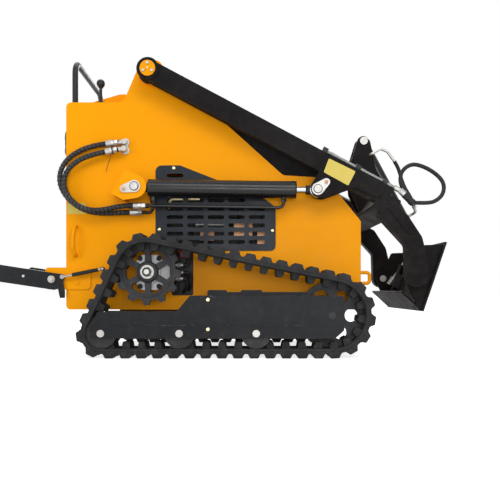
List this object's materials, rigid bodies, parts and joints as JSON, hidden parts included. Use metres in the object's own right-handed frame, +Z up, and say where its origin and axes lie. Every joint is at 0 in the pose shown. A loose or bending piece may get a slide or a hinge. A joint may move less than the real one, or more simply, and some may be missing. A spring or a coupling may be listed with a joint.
{
  "type": "compact track loader",
  "caption": "Stand-on mini compact track loader with rubber tracks, a hydraulic lift arm, a tilting quick-attach plate and a folding operator platform",
  "frame": {"origin": "On the ground, midway along the machine and on its centre plane", "axes": "+X forward, +Y to the left, +Z up"},
  "size_m": [2.2, 1.082, 1.4247],
  "materials": {
    "body_paint": "orange-yellow gloss enamel",
    "arm_black": "black satin enamel",
    "frame_black": "black satin enamel on the track frames",
    "grille_paint": "blue-black powder coat",
    "track_rubber": "moulded track rubber",
    "cast_dark": "dark cast iron",
    "zinc": "zinc plated steel",
    "chrome_rod": "hard chrome rod",
    "line_grey": "light grey steel",
    "hose_rubber": "hose in spiral guard",
    "black_plastic": "moulded black plastic",
    "pad_vinyl": "black vinyl cover",
    "engine_cast": "engine castings"
  },
  "bodies": {
    "chassis": {"base_pins": "zinc", "belly_plate": "body_paint", "console": "arm_black", "control_levers": "black_plastic", "cross_tubes": "frame_black", "drive_motors": "line_grey", "engine": "engine_cast", "front_wall": "body_paint", "grab_bar": "arm_black", "hose_ports": "zinc", "hydraulic_tank": "arm_black", "idlers": "cast_dark", "lift_brackets": "body_paint", "lift_hose_inner_left": "hose_rubber", "lift_hose_inner_right": "hose_rubber", "lift_hose_outer_left": "hose_rubber", "lift_hose_outer_right": "hose_rubber", "platform_brackets": "body_paint", "rear_wall": "body_paint", "roller_bolts": "zinc", "side_grilles": "grille_paint", "side_panel_left": "body_paint", "side_panel_right": "body_paint", "sprocket_left": "cast_dark", "sprocket_right": "cast_dark", "thigh_pad": "pad_vinyl", "tie_downs": "body_paint", "tower_deck": "body_paint", "track_frame_left": "frame_black", "track_frame_right": "frame_black", "track_left": "track_rubber", "track_right": "track_rubber", "track_rollers_left": "cast_dark", "track_rollers_right": "cast_dark"},
    "loader_arm": {"loader_arm_right": "arm_black", "loader_arm_left": "arm_black", "arm_crossbeam": "arm_black", "tilt_bracket": "arm_black", "tilt_pin": "zinc", "arm_lines": "line_grey", "rod_pins": "zinc", "arm_fittings": "zinc", "tilt_hose": "hose_rubber", "aux_hose": "hose_rubber"},
    "lift_barrel_right": {"lift_barrel_right": "arm_black", "barrel_line_right": "arm_black"},
    "lift_barrel_left": {"lift_barrel_left": "arm_black", "barrel_line_left": "arm_black"},
    "lift_rod_right": {"lift_rod_right": "chrome_rod"},
    "lift_rod_left": {"lift_rod_left": "chrome_rod"},
    "tilt_barrel": {"tilt_barrel": "arm_black"},
    "tilt_rod": {"tilt_rod": "chrome_rod"},
    "quick_attach": {"quick_attach": "arm_black", "attach_latches": "zinc"},
    "platform": {"platform": "frame_black"},
    "strut_tube_right": {"strut_tube_right": "arm_black"},
    "strut_tube_left": {"strut_tube_left": "arm_black"},
    "strut_rod_right": {"strut_rod_right": "chrome_rod"},
    "strut_rod_left": {"strut_rod_left": "chrome_rod"},
    "hood": {"hood": "arm_black"}
  },
  "joints": [
    {"name": "lift", "type": "hinge", "parent": "chassis", "child": "loader_arm", "pos_m": [-0.3, 0, 1.33], "axis": [0, -1, 0], "range_deg": [0, 62]},
    {"name": "lift_barrel_right", "type": "hinge", "parent": "chassis", "child": "lift_barrel_right", "pos_m": [-0.36, -0.392, 0.784], "axis": [0, -1, 0], "range_deg": [-0.1, 47.61]},
    {"name": "lift_rod_right", "type": "slide", "parent": "lift_barrel_right", "child": "lift_rod_right", "axis": [0.9999, 0, -0.0142], "range_m": [-0.0005, 0.49831]},
    {"name": "lift_barrel_left", "type": "hinge", "parent": "chassis", "child": "lift_barrel_left", "pos_m": [-0.36, 0.392, 0.784], "axis": [0, -1, 0], "range_deg": [-0.1, 47.61]},
    {"name": "lift_rod_left", "type": "slide", "parent": "lift_barrel_left", "child": "lift_rod_left", "axis": [0.9999, 0, -0.0142], "range_m": [-0.0005, 0.49831]},
    {"name": "tilt", "type": "hinge", "parent": "loader_arm", "child": "quick_attach", "pos_m": [0.948, 0, 0.371], "axis": [0, -1, 0], "range_deg": [-60, 10]},
    {"name": "tilt_barrel", "type": "hinge", "parent": "loader_arm", "child": "tilt_barrel", "pos_m": [0.767, 0, 1.081], "axis": [0, -1, 0], "range_deg": [-1.93, 0.41]},
    {"name": "tilt_rod", "type": "slide", "parent": "tilt_barrel", "child": "tilt_rod", "axis": [0.4739, 0, -0.8806], "range_m": [-0.0321, 0.19011]},
    {"name": "platform_fold", "type": "hinge", "parent": "chassis", "child": "platform", "pos_m": [-0.766, 0, 0.357], "axis": [0, 1, 0], "range_deg": [-8, 70]},
    {"name": "strut_tube_right", "type": "hinge", "parent": "chassis", "child": "strut_tube_right", "pos_m": [-0.521, -0.36, 0.406], "axis": [0, 1, 0], "range_deg": [-12.79, 1.55]},
    {"name": "strut_rod_right", "type": "slide", "parent": "strut_tube_right", "child": "strut_rod_right", "axis": [-0.9808, 0, -0.1951], "range_m": [-0.00528, 0.0423]},
    {"name": "strut_tube_left", "type": "hinge", "parent": "chassis", "child": "strut_tube_left", "pos_m": [-0.521, 0.36, 0.406], "axis": [0, 1, 0], "range_deg": [-12.79, 1.55]},
    {"name": "strut_rod_left", "type": "slide", "parent": "strut_tube_left", "child": "strut_rod_left", "axis": [-0.9808, 0, -0.1951], "range_m": [-0.00528, 0.0423]},
    {"name": "hood_open", "type": "hinge", "parent": "chassis", "child": "hood", "pos_m": [-0.196, 0, 1.316], "axis": [0, -1, 0], "range_deg": [0, 20]}
  ],
  "couplings": [
    {"joint": "lift_barrel_right", "follows": "lift", "ratio": 0.76631},
    {"joint": "lift_rod_right", "follows": "lift", "m_per_rad": 0.46004},
    {"joint": "lift_barrel_left", "follows": "lift", "ratio": 0.76631},
    {"joint": "lift_rod_left", "follows": "lift", "m_per_rad": 0.46004},
    {"joint": "tilt_barrel", "follows": "tilt", "ratio": 0.03055},
    {"joint": "tilt_rod", "follows": "tilt", "m_per_rad": -0.18106},
    {"joint": "strut_tube_right", "follows": "platform_fold", "ratio": -0.18124},
    {"joint": "strut_rod_right", "follows": "platform_fold", "m_per_rad": 0.034213},
    {"joint": "strut_tube_left", "follows": "platform_fold", "ratio": -0.18124},
    {"joint": "strut_rod_left", "follows": "platform_fold", "m_per_rad": 0.034213}
  ]
}
